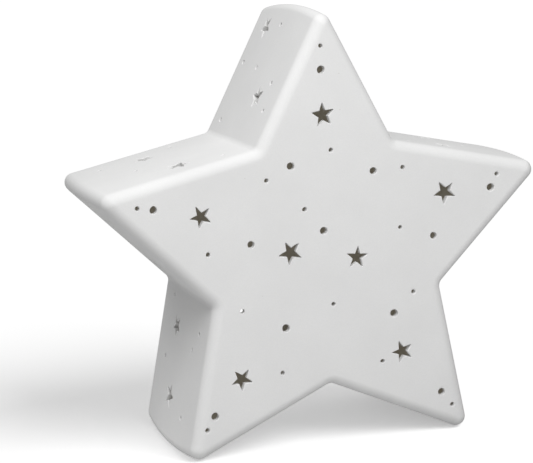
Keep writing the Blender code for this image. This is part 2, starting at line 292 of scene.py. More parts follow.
def lathe(profile, steps, shape_at=None):
    """Turns (radius, height) points about Z. A point on the axis becomes a single pole."""
    shape = bmesh.new()
    rows = []
    for radius, height in profile:
        if radius == 0.0:
            rows.append([shape.verts.new((0.0, 0.0, height))])
            continue
        row = []
        for i in range(steps):
            angle = 2 * pi * i / steps
            r, h = shape_at(radius, height, angle) if shape_at else (radius, height)
            row.append(shape.verts.new((r * cos(angle), r * sin(angle), h)))
        rows.append(row)
    for row, after in zip(rows, rows[1:]):
        for i in range(steps):
            j = (i + 1) % steps
            corners = [row[i % len(row)], row[j % len(row)], after[j % len(after)], after[i % len(after)]]
            corners = list(dict.fromkeys(corners))
            if len(corners) > 2:
                shape.faces.new(corners)
    if profile[0] == profile[-1]:
        bmesh.ops.remove_doubles(shape, verts=shape.verts, dist=0.001 * MM)
    return closed_mesh(shape)


def arch_outline(grow, sill, settings):
    """The back opening's outline (x, z): a flat sill with round ends, upright sides, an oval head."""
    radius = settings.opening_width / 2 + grow
    rise = settings.opening_rise + grow
    spring = sill + settings.opening_height - settings.opening_rise
    corner = 2.5 * MM + grow
    low = sill - grow
    points = [(radius * cos(pi * i / 32), spring + rise * sin(pi * i / 32)) for i in range(33)]
    for side in (-1, 1):
        for i in range(7):
            angle = pi / 2 * (i / 6)
            along = cos(angle) if side < 0 else sin(angle)
            down = sin(angle) if side < 0 else cos(angle)
            points.append((side * (radius - corner + corner * along), low + corner - corner * down))
    return points


def piece_from(mesh, name):
    item = bpy.data.objects.new(name, mesh)
    bpy.context.scene.collection.objects.link(item)
    return item


def plain_mesh(item):
    """The mesh of an object with its modifiers worked in."""
    evaluated = item.evaluated_get(bpy.context.evaluated_depsgraph_get())
    return bpy.data.meshes.new_from_object(evaluated)


def smooth(mesh, sharp_degrees):
    mesh.shade_smooth()
    mesh.set_sharp_from_angle(angle=radians(sharp_degrees))


def centre_height(depth):
    """Height of the star's centre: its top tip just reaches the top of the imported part."""
    outline = star_outline(-SKIN_INSET, TIP_CROWN, OUTER_STEPS)
    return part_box("star_shell")[1].z - SKIN_INSET - max(point.y for point in outline)


def motif_frame(spot, outward, along, turn):
    """Where a punch goes: its Z is the wall's outward normal, and its X turns in the wall."""
    side = outward.cross(along).normalized()
    facing = Matrix((along, side, outward)).transposed().to_4x4()
    return Matrix.Translation(spot) @ facing @ Matrix.Rotation(radians(turn), 4, "Z")


def front_motifs(depth, height):
    """(kind, matrix) of each motif on the front face."""
    outward = Vector((0.0, -1.0, 0.0))
    upright = Vector((0.0, 0.0, 1.0))
    placed = []
    groups = ((STAR_MOTIF, FRONT_STARS), (DOT_MOTIF, FRONT_DOTS), (PINHOLE_MOTIF, FRONT_PINHOLES))
    for kind, motifs in groups:
        for x, z, *turn in motifs:
            spot = Vector((x * MM, -depth / 2, z * MM + height))
            placed.append((kind, motif_frame(spot, outward, upright, turn[0] if turn else 0)))
    return placed


def side_spot(wall, from_notch, y, depth, height):
    """A point on a side wall, at this distance from its notch and this depth, and its direction."""
    corners = star_corners(tip_rise_at(y, depth))
    start = corners[wall]
    end = corners[(wall + 1) % len(corners)]
    notch, tip = (end, start) if wall % 2 == 0 else (start, end)
    to_tip = (tip - notch).normalized()
    spot = notch + to_tip * from_notch
    return Vector((spot.x, y, spot.y + height)), Vector((to_tip.x, 0.0, to_tip.y))


def side_motifs(depth, height):
    """(kind, matrix) of each motif on the ten side walls, square to the wall's crowned surface."""
    placed = []
    for wall, layout in enumerate(SIDE_LAYOUT):
        stars = [(STAR_MOTIF, *motif) for motif in SIDE_STARS[layout]]
        pinholes = [(PINHOLE_MOTIF, *motif, 0) for motif in SIDE_PINHOLES[layout]]
        for kind, from_notch, to_back, turn in stars + pinholes:
            y = to_back * MM
            spot, to_tip = side_spot(wall, from_notch * MM, y, depth, height)
            behind, _ = side_spot(wall, from_notch * MM, y + MM, depth, height)
            outward = to_tip.cross(behind - spot).normalized()
            if outward.dot(Vector((spot.x, 0.0, spot.z - height))) < 0:
                outward.negate()
            placed.append((kind, motif_frame(spot, outward, to_tip, turn)))
    return placed


# --- Geometry Nodes -------------------------------------------------------------------------


def add(tree, kind, wires=None, **choices):
    """Adds a node. wires joins or sets its inputs, which are named or counted."""
    node = tree.nodes.new(kind)
    for name, choice in choices.items():
        setattr(node, name, choice)
    for key, value in (wires or {}).items():
        socket = node.inputs[key]
        if isinstance(value, bpy.types.NodeSocket):
            tree.links.new(value, socket)
        else:
            socket.default_value = value
    return node


def calc(tree, operation, *values):
    wires = dict(enumerate(values))
    return add(tree, "ShaderNodeMath", wires, operation=operation).outputs[0]


def new_tree(name, inputs):
    """A tree with a geometry output and these (name, socket type, default) inputs."""
    tree = bpy.data.node_groups.new(name, "GeometryNodeTree")
    for label, kind, default in inputs:
        socket = tree.interface.new_socket(name=label, in_out="INPUT", socket_type=kind)
        if default is not None:
            socket.default_value = default
    tree.interface.new_socket(name="Geometry", in_out="OUTPUT", socket_type="NodeSocketGeometry")
    return tree, tree.nodes.new("NodeGroupInput").outputs


def with_material(tree, node, material):
    wires = {"Geometry": node.outputs[0], "Material": material}
    return add(tree, "GeometryNodeSetMaterial", wires).outputs[0]


def finish_tree(tree, geometry):
    add(tree, "NodeGroupOutput", {0: geometry})


def run_tree(item, tree, values):
    """Runs a tree on an object with these named inputs, and leaves the object with a plain mesh."""
    modifier = item.modifiers.new(tree.name, "NODES")
    modifier.node_group = tree
    sockets = [socket for socket in tree.interface.items_tree if socket.in_out == "INPUT"]
    named = {socket.name: socket.identifier for socket in sockets}
    for name, value in values.items():
        modifier[named[name]] = value
    mesh = plain_mesh(item)
    item.modifiers.clear()
    item.data = mesh
    return item


def punch_tree():
    """A plug along Z, round or star-shaped. At z = 0 its flank flares to round the rim it cuts."""
    number = "NodeSocketFloat"
    tree, given = new_tree(
        "punch",
        (
            ("Sides", "NodeSocketInt", 24),
            ("Radius", number, 1.0),
            ("Waist", number, 1.0),
            ("Roundness", number, 1.0),
            ("Rim Radius", number, 0.1),
            ("Reach In", number, 1.0),
            ("Reach Out", number, 0.1),
            ("Tip Spread", number, 1.0),
            ("Waist Spread", number, 1.0),
            ("Blunting", number, 0.0),
        ),
    )
    sector = pi / 5
    levels = FLARE_STEPS + 2
    cylinder = add(
        tree, "GeometryNodeMeshCylinder",
        {"Vertices": given["Sides"], "Side Segments": levels, "Radius": 1.0, "Depth": 1.0},
    )
    position = tree.nodes.new("GeometryNodeInputPosition").outputs[0]
    x, y, z = add(tree, "ShaderNodeSeparateXYZ", {0: position}).outputs

    level = calc(tree, "MULTIPLY", calc(tree, "ADD", z, 0.5), levels)
    share = calc(tree, "DIVIDE", calc(tree, "SUBTRACT", level, 1.0), FLARE_STEPS)
    inside = add(tree, "ShaderNodeClamp", {0: share}).outputs[0]
    angle = calc(tree, "MULTIPLY", inside, FLARE_TURN)
    rim = given["Rim Radius"]
    arc_out = calc(tree, "MULTIPLY", rim, calc(tree, "SUBTRACT", 1.0, calc(tree, "COSINE", angle)))
    arc_up = calc(tree, "MULTIPLY", rim, calc(tree, "SUBTRACT", calc(tree, "SINE", angle), 1.0))
    foot = calc(tree, "LESS_THAN", level, 0.5)
    head = calc(tree, "GREATER_THAN", level, levels - 0.5)
    drop = calc(tree, "MULTIPLY", foot, calc(tree, "ADD", given["Reach In"], arc_up))
    lift = calc(tree, "MULTIPLY", head, calc(tree, "SUBTRACT", given["Reach Out"], arc_up))
    height = calc(tree, "ADD", calc(tree, "SUBTRACT", arc_up, drop), lift)
    grow = calc(tree, "MULTIPLY_ADD", lift, tan(FLARE_TURN), arc_out)

    around = calc(tree, "ARCTAN2", y, x)
    starness = calc(tree, "SUBTRACT", 1.0, given["Roundness"])
    gather = calc(tree, "MULTIPLY", calc(tree, "SINE", calc(tree, "MULTIPLY", around, 10.0)), 0.085)
    around = calc(tree, "SUBTRACT", around, calc(tree, "MULTIPLY", gather, starness))
    from_tip = calc(tree, "PINGPONG", around, sector)
    to_waist = calc(tree, "SUBTRACT", sector, from_tip)
    tip = calc(tree, "MULTIPLY_ADD", grow, given["Tip Spread"], given["Radius"])
    waist = calc(tree, "MULTIPLY_ADD", grow, given["Waist Spread"], given["Waist"])
    product = calc(tree, "MULTIPLY", calc(tree, "MULTIPLY", tip, waist), sin(sector))
    tip_part = calc(tree, "MULTIPLY", tip, calc(tree, "SINE", from_tip))
    divisor = calc(tree, "MULTIPLY_ADD", waist, calc(tree, "SINE", to_waist), tip_part)
    flank = calc(tree, "DIVIDE", product, divisor)
    cap = calc(tree, "ADD", calc(tree, "SUBTRACT", given["Radius"], given["Blunting"]), grow)
    star = calc(tree, "SMOOTH_MIN", flank, cap, given["Blunting"])
    circle = calc(tree, "ADD", given["Radius"], grow)
    blend = add(tree, "ShaderNodeMix", {0: given["Roundness"], 2: star, 3: circle}, data_type="FLOAT")
    radius = blend.outputs[0]
    spot = add(
        tree, "ShaderNodeCombineXYZ",
        {
            0: calc(tree, "MULTIPLY", radius, calc(tree, "COSINE", around)),
            1: calc(tree, "MULTIPLY", radius, calc(tree, "SINE", around)),
            2: height,
        },
    )
    moved = add(
        tree, "GeometryNodeSetPosition", {"Geometry": cylinder.outputs["Mesh"], "Position": spot.outputs[0]}
    )
    finish_tree(tree, moved.outputs[0])
    return tree


def piercing_tree(punch):
    """Stands the punches on the wall's points, by the points' kind and facing attributes."""
    number = "NodeSocketFloat"
    tree, given = new_tree(
        "piercing",
        (
            ("Geometry", "NodeSocketGeometry", None),
            ("Star Radius", number, 5 * MM),
            ("Star Waist", number, 2 * MM),
            ("Dot Radius", number, 1.5 * MM),
            ("Pinhole Radius", number, MM),
            ("Rim Radius", number, 0.4 * MM),
            ("Wall", number, 2.5 * MM),
            ("Tip Spread", number, 1.0),
            ("Waist Spread", number, 1.0),
            ("Unevenness", number, 0.1 * MM),
            ("Seed", "NodeSocketInt", 0),
            ("Material", "NodeSocketMaterial", None),
        ),
    )
    kind = add(tree, "GeometryNodeInputNamedAttribute", {"Name": "kind"}, data_type="INT").outputs[0]
    facing = add(tree, "GeometryNodeInputNamedAttribute", {"Name": "facing"}, data_type="QUATERNION")
    size = add(
        tree, "FunctionNodeRandomValue", {2: 0.95, 3: 1.05, 8: given["Seed"]}, data_type="FLOAT"
    ).outputs[1]
    joined = tree.nodes.new("GeometryNodeJoinGeometry")
    motifs = (
        (STAR_MOTIF, STAR_SIDES, "Star Radius", "Star Waist", 0.0),
        (DOT_MOTIF, DOT_SIDES, "Dot Radius", "Dot Radius", 1.0),
        (PINHOLE_MOTIF, PINHOLE_SIDES, "Pinhole Radius", "Pinhole Radius", 1.0),
    )
    for motif, sides, radius, waist, roundness in motifs:
        plug = add(
            tree, "GeometryNodeGroup",
            {
                "Sides": sides,
                "Radius": given[radius],
                "Waist": given[waist],
                "Roundness": roundness,
                "Rim Radius": given["Rim Radius"],
                "Reach In": calc(tree, "ADD", given["Wall"], 1.6 * MM),
                "Reach Out": 0.3 * MM,
                "Tip Spread": given["Tip Spread"],
                "Waist Spread": given["Waist Spread"],
                "Blunting": 0.28 * MM,
            },
            node_tree=punch,
        )
        chosen = add(
            tree, "FunctionNodeCompare", {2: kind, 3: motif}, data_type="INT", operation="EQUAL"
        ).outputs[0]
        stand = add(
            tree, "GeometryNodeInstanceOnPoints",
            {
                "Points": given["Geometry"],
                "Selection": chosen,
                "Instance": plug.outputs[0],
                "Rotation": facing.outputs[0],
                "Scale": size,
            },
        )
        tree.links.new(stand.outputs[0], joined.inputs[0])
    solid = add(tree, "GeometryNodeRealizeInstances", {0: joined.outputs[0]})
    noise = add(tree, "ShaderNodeTexNoise", {"Scale": 210.0, "Detail": 1.0}, noise_dimensions="4D")
    tree.links.new(given["Seed"], noise.inputs["W"])
    middle = add(
        tree, "ShaderNodeVectorMath", {0: noise.outputs["Color"], 1: (0.5, 0.5, 0.5)},
        operation="SUBTRACT",
    )
    wander = add(
        tree, "ShaderNodeVectorMath",
        {0: middle.outputs[0], "Scale": calc(tree, "MULTIPLY", given["Unevenness"], 4.0)},
        operation="SCALE",
    )
    moved = add(
        tree, "GeometryNodeSetPosition", {"Geometry": solid.outputs[0], "Offset": wander.outputs[0]}
    )
    finish_tree(tree, with_material(tree, moved, given["Material"]))
    return tree


def braid_tree():
    """A braided wick along Z: strands that wind both ways round a core."""
    number = "NodeSocketFloat"
    tree, given = new_tree(
        "braid",
        (
            ("Geometry", "NodeSocketGeometry", None),
            ("Height", number, 19 * MM),
            ("Radius", number, 0.65 * MM),
            ("Strand Radius", number, 0.2 * MM),
            ("Strands", "NodeSocketInt", 3),
            ("Turns", number, 5.0),
            ("Foot", "NodeSocketVector", (0.0, 0.0, 0.0)),
            ("Material", "NodeSocketMaterial", None),
        ),
    )
    room = calc(tree, "MULTIPLY", given["Strand Radius"], 1.15)
    centre_line = calc(tree, "SUBTRACT", given["Radius"], room)
    profile = add(
        tree, "GeometryNodeCurvePrimitiveCircle", {"Resolution": 7, "Radius": given["Strand Radius"]}
    )
    joined = tree.nodes.new("GeometryNodeJoinGeometry")
    for handed, swell in ((False, 1.0), (True, 1.1)):
        helix = add(
            tree, "GeometryNodeCurveSpiral",
            {
                "Resolution": 14,
                "Rotations": given["Turns"],
                "Start Radius": calc(tree, "MULTIPLY", centre_line, swell),
                "End Radius": centre_line,
                "Height": given["Height"],
                "Reverse": handed,
            },
        )
        strand = add(
            tree, "GeometryNodeCurveToMesh",
            {"Curve": helix.outputs[0], "Profile Curve": profile.outputs[0], "Fill Caps": True},
        )
        spots = add(tree, "GeometryNodeMeshLine", {"Count": given["Strands"], "Offset": (0.0, 0.0, 0.0)})
        index = tree.nodes.new("GeometryNodeInputIndex").outputs[0]
        step = calc(tree, "DIVIDE", 2 * pi, given["Strands"])
        turn = add(tree, "ShaderNodeCombineXYZ", {2: calc(tree, "MULTIPLY", index, step)})
        ring = add(
            tree, "GeometryNodeInstanceOnPoints",
            {"Points": spots.outputs[0], "Instance": strand.outputs[0], "Rotation": turn.outputs[0]},
        )
        tree.links.new(ring.outputs[0], joined.inputs[0])
    core = add(
        tree, "GeometryNodeMeshCylinder",
        {"Vertices": 12, "Side Segments": 1, "Radius": centre_line, "Depth": given["Height"]},
    )
    half = add(tree, "ShaderNodeCombineXYZ", {2: calc(tree, "MULTIPLY", given["Height"], 0.5)})
    raised = add(
        tree, "GeometryNodeSetPosition", {"Geometry": core.outputs["Mesh"], "Offset": half.outputs[0]}
    )
    tree.links.new(raised.outputs[0], joined.inputs[0])
    solid = add(tree, "GeometryNodeRealizeInstances", {0: joined.outputs[0]})
    stood = add(
        tree, "GeometryNodeSetPosition", {"Geometry": solid.outputs[0], "Offset": given["Foot"]}
    )
    finish_tree(tree, with_material(tree, stood, given["Material"]))
    return tree


# --- Materials ------------------------------------------------------------------------------


def new_material(name):
    material = bpy.data.materials.new(name)
    material.use_nodes = True
    tree = material.node_tree
    shader = tree.nodes["Principled BSDF"]
    place = tree.nodes.new("ShaderNodeTexCoord").outputs["Object"]
    return material, tree, shader, place


def noise_at(tree, place, scale, detail=2.0, roughness=0.5):
    wires = {"Vector": place, "Scale": scale, "Detail": detail, "Roughness": roughness}
    return add(tree, "ShaderNodeTexNoise", wires).outputs["Fac"]


def ramp(tree, value, low, high, result_low=0.0, result_high=1.0):
    wires = {"Value": value, "From Min": low, "From Max": high, "To Min": result_low, "To Max": result_high}
    return add(tree, "ShaderNodeMapRange", wires).outputs[0]


def tint(tree, factor, first, second):
    mixed = add(tree, "ShaderNodeMix", {0: factor, 6: first, 7: second}, data_type="RGBA")
    return mixed.outputs[2]


def shade(rgb, share):
    return (*[min(1.0, channel * share) for channel in rgb], 1.0)


def bump(tree, height, strength, distance, below=None):
    wires = {"Height": height, "Strength": strength, "Distance": distance}
    if below is not None:
        wires["Normal"] = below
    return add(tree, "ShaderNodeBump", wires).outputs[0]


def bisque_material(name, rgb, through):
    """Unglazed porcelain: cloudy white body, fine tooth, and now and then a fleck of iron.

    The surface also glows a faint warm white at this strength: painted light, which stands in for the light
    that reaches the inside of the star.
    """
    material, tree, shader, place = new_material(name)
    cloud = noise_at(tree, place, 38.0, 4.0, 0.55)
    grain = noise_at(tree, place, 1900.0, 3.0, 0.6)
    body = tint(tree, ramp(tree, cloud, 0.3, 0.7), shade(rgb, 0.975), shade(rgb, 1.02))
    toothed = tint(tree, ramp(tree, grain, 0.35, 0.65, 0.0, 0.35), body, shade(rgb, 0.93))
    cells = add(tree, "ShaderNodeTexVoronoi", {"Vector": place, "Scale": 170.0})
    near = ramp(tree, cells.outputs["Distance"], 0.045, 0.02)
    draw = add(tree, "ShaderNodeSeparateColor", {0: cells.outputs["Color"]}).outputs[0]
    picked = ramp(tree, draw, 0.9, 0.93)
    fleck = calc(tree, "MULTIPLY", calc(tree, "MULTIPLY", near, picked), 0.5)
    flecked = tint(tree, fleck, toothed, (rgb[0] * 0.55, rgb[1] * 0.5, rgb[2] * 0.46, 1.0))
    tree.links.new(flecked, shader.inputs["Base Color"])
    tree.links.new(ramp(tree, grain, 0.3, 0.7, 0.62, 0.8), shader.inputs["Roughness"])
    shader.inputs["Specular IOR Level"].default_value = 0.32
    # Painted light: the surface glows by itself at the given strength, which is none for the outside.
    shader.inputs["Emission Color"].default_value = (1.0, 0.91, 0.74, 1.0)
    shader.inputs["Emission Strength"].default_value = through
    wave = bump(tree, noise_at(tree, place, 55.0, 1.0), 0.12, 0.6 * MM)
    tooth = bump(tree, grain, 0.16, 0.05 * MM, wave)
    tree.links.new(tooth, shader.inputs["Normal"])
    return material


def metal_material(name, rgb, rough, marks):
    """Thin drawn metal sheet, with draw marks round it and a fine crumple."""
    material, tree, shader, place = new_material(name)
    stretched = add(tree, "ShaderNodeMapping", {"Vector": place, "Scale": (1.0, 1.0, marks)}).outputs[0]
    lines = noise_at(tree, stretched, 900.0, 3.0, 0.6)
    crumple = noise_at(tree, place, 160.0, 3.0)
    tree.links.new(tint(tree, crumple, shade(rgb, 0.86), shade(rgb, 1.08)), shader.inputs["Base Color"])
    shader.inputs["Metallic"].default_value = 1.0
    tree.links.new(ramp(tree, lines, 0.3, 0.7, rough - 0.07, rough + 0.12), shader.inputs["Roughness"])
    soft = bump(tree, crumple, 0.35, 0.25 * MM)
    tree.links.new(bump(tree, lines, 0.2, 0.03 * MM, soft), shader.inputs["Normal"])
    return material


def wax_material(rgb):
    """White paraffin: milky, a little see-through, with a frosted, faintly mottled skin."""
    material, tree, shader, place = new_material("paraffin wax")
    mottle = noise_at(tree, place, 260.0, 4.0, 0.6)
    frost = noise_at(tree, place, 2400.0, 2.0)
    tree.links.new(tint(tree, mottle, shade(rgb, 0.93), shade(rgb, 1.04)), shader.inputs["Base Color"])
    tree.links.new(ramp(tree, mottle, 0.3, 0.7, 0.32, 0.5), shader.inputs["Roughness"])
    shader.inputs["Subsurface Weight"].default_value = 0.35
    shader.inputs["Subsurface Radius"].default_value = (1.0, 0.9, 0.7)
    shader.inputs["Subsurface Scale"].default_value = 2 * MM
    soft = bump(tree, mottle, 0.25, 0.2 * MM)
    tree.links.new(bump(tree, frost, 0.12, 0.03 * MM, soft), shader.inputs["Normal"])
    return material


def cotton_material(rgb):
    """Waxed cotton: fine twisted fibres, a little dulled by the wax."""
    material, tree, shader, place = new_material("waxed cotton")
    fibre = add(tree, "ShaderNodeMapping", {"Vector": place, "Scale": (1.0, 1.0, 0.3)}).outputs[0]
    threads = noise_at(tree, fibre, 5200.0, 3.0, 0.65)
    tree.links.new(tint(tree, threads, shade(rgb, 0.78), shade(rgb, 1.08)), shader.inputs["Base Color"])
    tree.links.new(ramp(tree, threads, 0.3, 0.7, 0.6, 0.85), shader.inputs["Roughness"])
    shader.inputs["Sheen Weight"].default_value = 0.25
    tree.links.new(bump(tree, threads, 0.4, 0.04 * MM), shader.inputs["Normal"])
    return material


def sweep_material(rgb, glow):
    """The stage's plain pale sweep, lit a little from below as on a light table."""
    material, tree, shader, place = new_material("stage sweep")
    fibre = noise_at(tree, place, 700.0, 2.0)
    tree.links.new(tint(tree, fibre, shade(rgb, 0.995), shade(rgb, 1.005)), shader.inputs["Base Color"])
    shader.inputs["Roughness"].default_value = 0.9
    shader.inputs["Specular IOR Level"].default_value = 0.1
    shader.inputs["Emission Color"].default_value = (1.0, 1.0, 1.0, 1.0)
    shader.inputs["Emission Strength"].default_value = glow
    return material


# --- Pieces ---------------------------------------------------------------------------------


def motif_points(placed):
    """A mesh of loose points that carry each motif's kind and facing."""
    mesh = bpy.data.meshes.new("motif_points")
    mesh.from_pydata([matrix.translation for _, matrix in placed], [], [])
    kinds = mesh.attributes.new("kind", "INT", "POINT")
    kinds.data.foreach_set("value", [kind for kind, _ in placed])
    facing = mesh.attributes.new("facing", "QUATERNION", "POINT")
    for entry, (_, matrix) in zip(facing.data, placed):
        entry.value = matrix.to_quaternion()
    return mesh


def cut(target, cutter):
    boolean = target.modifiers.new(cutter.name, "BOOLEAN")
    boolean.operation = "DIFFERENCE"
    boolean.solver = "EXACT"
    boolean.material_mode = "TRANSFER"
    boolean.object = cutter


def flank_angle(radius, waist):
    """Angle between the middle line of a pierced star's arm and the arm's flank."""
    corner = Vector((waist * cos(pi / 5), waist * sin(pi / 5)))
    to_corner = (corner - Vector((radius, 0.0))).normalized()
    return acos(-to_corner.x)


def make_star(settings):
    """The pierced porcelain shell."""
    low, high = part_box("star_shell")
    depth = high.y - low.y
    height = centre_height(depth)
    outside = bisque_material("bisque outside", settings.bisque, 0.0)
    # The inside's material is lighter and warmer than the outside and glows faintly: painted light for the
    # shade inside the star.
    inside = bisque_material("bisque inside painted light", settings.bisque_inside_painted_light, settings.through)

    def star_rings(inset, steps):
        sections = star_sections(inset, depth, steps)
        return [[(p.x, y, p.y + height) for p in outline] for y, outline in sections]

    shell = piece_from(loft(star_rings(SKIN_INSET, OUTER_STEPS)), "pierced_star")
    shell.data.materials.append(outside)
    hollow = piece_from(loft(star_rings(settings.wall, INNER_STEPS)), "hollow")
    hollow.data.materials.append(inside)

    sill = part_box("candle_shelf")[1].z
    wall_front = high.y - settings.wall - 2 * MM
    flare = 1.2 * MM
    rings = [[(x, wall_front, z) for x, z in arch_outline(0.0, sill, settings)]]
    for i in range(FLARE_STEPS + 1):
        angle = FLARE_TURN * i / FLARE_STEPS
        grow = flare * (1 - cos(angle))
        y = high.y - flare + flare * sin(angle)
        rings.append([(x, y, z) for x, z in arch_outline(grow, sill, settings)])
    beyond = 0.3 * MM
    grow += beyond * tan(FLARE_TURN)
    rings.append([(x, y + beyond, z) for x, z in arch_outline(grow, sill, settings)])
    arch = piece_from(loft(rings), "arch")
    arch.data.materials.append(outside)

    half_angle = flank_angle(settings.star_radius, settings.star_waist)
    placed = front_motifs(depth - 2 * SKIN_INSET, height) + side_motifs(depth, height)
    punches = run_tree(
        piece_from(motif_points(placed), "punches"),
        piercing_tree(punch_tree()),
        {
            "Star Radius": settings.star_radius,
            "Star Waist": settings.star_waist,
            "Dot Radius": settings.dot_radius,
            "Pinhole Radius": settings.pinhole_radius,
            "Rim Radius": settings.rim_radius,
            "Wall": settings.wall,
            "Tip Spread": 1 / sin(half_angle),
            "Waist Spread": 1 / sin(half_angle + pi / 5),
            "Unevenness": settings.unevenness,
            "Seed": settings.seed,
            "Material": outside,
        },
    )
    block = bmesh.new()
    bmesh.ops.create_cube(block, size=GROUND_BLOCK, matrix=Matrix.Translation((0, 0, -GROUND_BLOCK / 2)))
    ground = piece_from(closed_mesh(block), "ground")
    ground.data.materials.append(outside)

    cutters = (hollow, arch, punches, ground)
    for cutter in cutters:
        cut(shell, cutter)
    mesh = plain_mesh(shell)
    if not mesh.polygons:
        raise RuntimeError("nothing is left of the shell after its cuts")
    bpy.data.objects.remove(shell)
    for cutter in cutters:
        bpy.data.objects.remove(cutter)
    smooth(mesh, 38)
    shell = piece_from(mesh, "pierced_star")
    weighted = shell.modifiers.new("weighted", "WEIGHTED_NORMAL")
    weighted.keep_sharp = True
    mesh = plain_mesh(shell)
    shell.modifiers.clear()
    shell.data = mesh
    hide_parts("star_shell")
    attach(shell, "holder")


def make_shelf(settings):
    """The slab luted between the front and back walls, with softened edges."""
    low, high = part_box("candle_shelf")
    corner = 4 * MM
    edge = 0.9 * MM
    rings = []
    levels = [(low.z + edge * (1 - cos(a)), edge * (1 - sin(a))) for a in (0, pi / 6, pi / 3, pi / 2)]
    levels += [(high.z - edge * (1 - cos(a)), edge * (1 - sin(a))) for a in (pi / 2, pi / 3, pi / 6, 0)]
    for z, inset in levels:
        ring = []
        for quarter, (sx, sy) in enumerate(((1, 1), (-1, 1), (-1, -1), (1, -1))):
            for i in range(9):
                angle = pi / 2 * (quarter + i / 8)
                x = sx * (high.x - corner) + (corner - inset) * cos(angle)
                y = sy * (high.y - corner) + (corner - inset) * sin(angle)
                ring.append((x, y, z))
        rings.append(ring)
    shelf = piece_from(loft(rings), "luted_shelf")
    smooth(shelf.data, 40)
    # The shelf takes the inside's lighter, warmer colour and faint glow: painted light for the shade inside
    # the star.
    bisque = bisque_material("bisque shelf painted light", settings.bisque_inside_painted_light, settings.through)
    shelf.data.materials.append(bisque)
    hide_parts("candle_shelf")
    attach(shelf, "holder")


def bead(radius, height, bead_radius, start, end, steps):
    """Points of a small arc round (radius, height), for a rolled edge."""
    turns = [start + (end - start) * i / steps for i in range(steps + 1)]
    return [(radius + bead_radius * cos(a), height + bead_radius * sin(a)) for a in turns]


def cup_bore(settings):
    """Inner radius of the tealight's cup."""
    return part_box("tealight_cup")[1].x - 2 * settings.rim_bead


def make_cup(settings):
    """The drawn aluminium cup: stepped foot, faint ripples low on the wall and a rolled rim."""
    low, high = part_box("tealight_cup")
    base = low.z
    rim = high.x
    roll = settings.rim_bead
    wall = 0.25 * MM
    side = cup_bore(settings) + wall
    top = high.z - roll
    profile = [
        (0.0, base + 0.75 * MM),
        (6 * MM, base + 0.75 * MM),
        (6.6 * MM, base + 0.35 * MM),
        (side - 2.2 * MM, base + 0.35 * MM),
        (side - 1.2 * MM - wall, base + 0.75 * MM),
        (side - wall - 0.35 * MM, base + 2.2 * MM),
        (side - wall, base + 3 * MM),
        (side - wall, top - 0.3 * MM),
    ]
    profile += bead(rim - roll, top, roll, pi, -pi * 0.75, 14)
    profile += [
        (side, top - 2.2 * roll),
        (side, base + 3 * MM),
        (side - 0.35 * MM, base + 2.2 * MM),
        (side - 0.9 * MM, base + 0.6 * MM),
        (side - 1.5 * MM, base),
        (side - 2.2 * MM, base),
        (side - 2.6 * MM, base + 0.15 * MM),
        (6.6 * MM, base + 0.15 * MM),
        (6 * MM, base + 0.5 * MM),
        (0.0, base + 0.5 * MM),
    ]

    def drawn(radius, height, angle):
        share = min(max((height - base - 2 * MM) / (6 * MM), 0.0), 1.0)
        ripple = 0.05 * MM * (1 - share) * cos(48 * angle) if height > base + 2 * MM else 0.0
        return radius + ripple, height

    cup = piece_from(lathe(profile, 192, drawn), "foil_cup")
    smooth(cup.data, 50)
    cup.data.materials.append(metal_material("drawn aluminium", settings.aluminium, 0.28, 0.12))
    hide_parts("tealight_cup")
    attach(cup, "tealight")


def make_wax(settings):
    """The fill of wax: it climbs the cup a little, and dips and rises again at the wick."""
    low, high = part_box("tealight_wax")
    outer = min(cup_bore(settings) - 0.05 * MM, high.x + 0.25 * MM)
    level = high.z - settings.meniscus
    profile = [
        (0.0, low.z + 0.1 * MM),
        (outer - 1.6 * MM, low.z + 0.1 * MM),
        (outer - 0.5 * MM, low.z + 1.8 * MM),
        (outer, low.z + 2.8 * MM),
        (outer, high.z),
    ]
    rings = 25
    for i in range(1, rings):
        radius = outer * (1 - i / rings)
        edge = settings.meniscus * exp((radius - outer) / (0.8 * MM))
        dish = 0.35 * MM * (1 - (radius / outer) ** 2)
        collar = 0.7 * MM * exp(-radius / (1.1 * MM))
        profile.append((radius, level + edge - dish + collar))
    profile.append((0.0, level + 0.35 * MM))

    def settled(radius, height, angle):
        if height < level - 1 * MM or radius > outer - 0.2 * MM:
            return radius, height
        swirl = 0.07 * MM * sin(3 * angle + radius * 400) + 0.04 * MM * sin(7 * angle - radius * 900)
        return radius, height + swirl * (1 - radius / outer)

    wax = piece_from(lathe(profile, 96, settled), "wax_fill")
    smooth(wax.data, 50)
    wax.data.materials.append(wax_material(settings.wax))
    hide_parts("tealight_wax")
    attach(wax, "tealight")


def make_wick(settings):
    """The braided wick of waxed cotton."""
    low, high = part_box("wick")
    wick = run_tree(
        piece_from(bpy.data.meshes.new("wick_start"), "braided_wick"),
        braid_tree(),
        {
            "Height": high.z - low.z,
            "Radius": high.x,
            "Strand Radius": settings.strand_radius,
            "Strands": settings.strands,
            "Turns": 5.0,
            "Foot": (0.0, 0.0, low.z),
            "Material": cotton_material(settings.cotton),
        },
    )
    wick.data.shade_smooth()
    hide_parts("wick")
    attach(wick, "tealight")


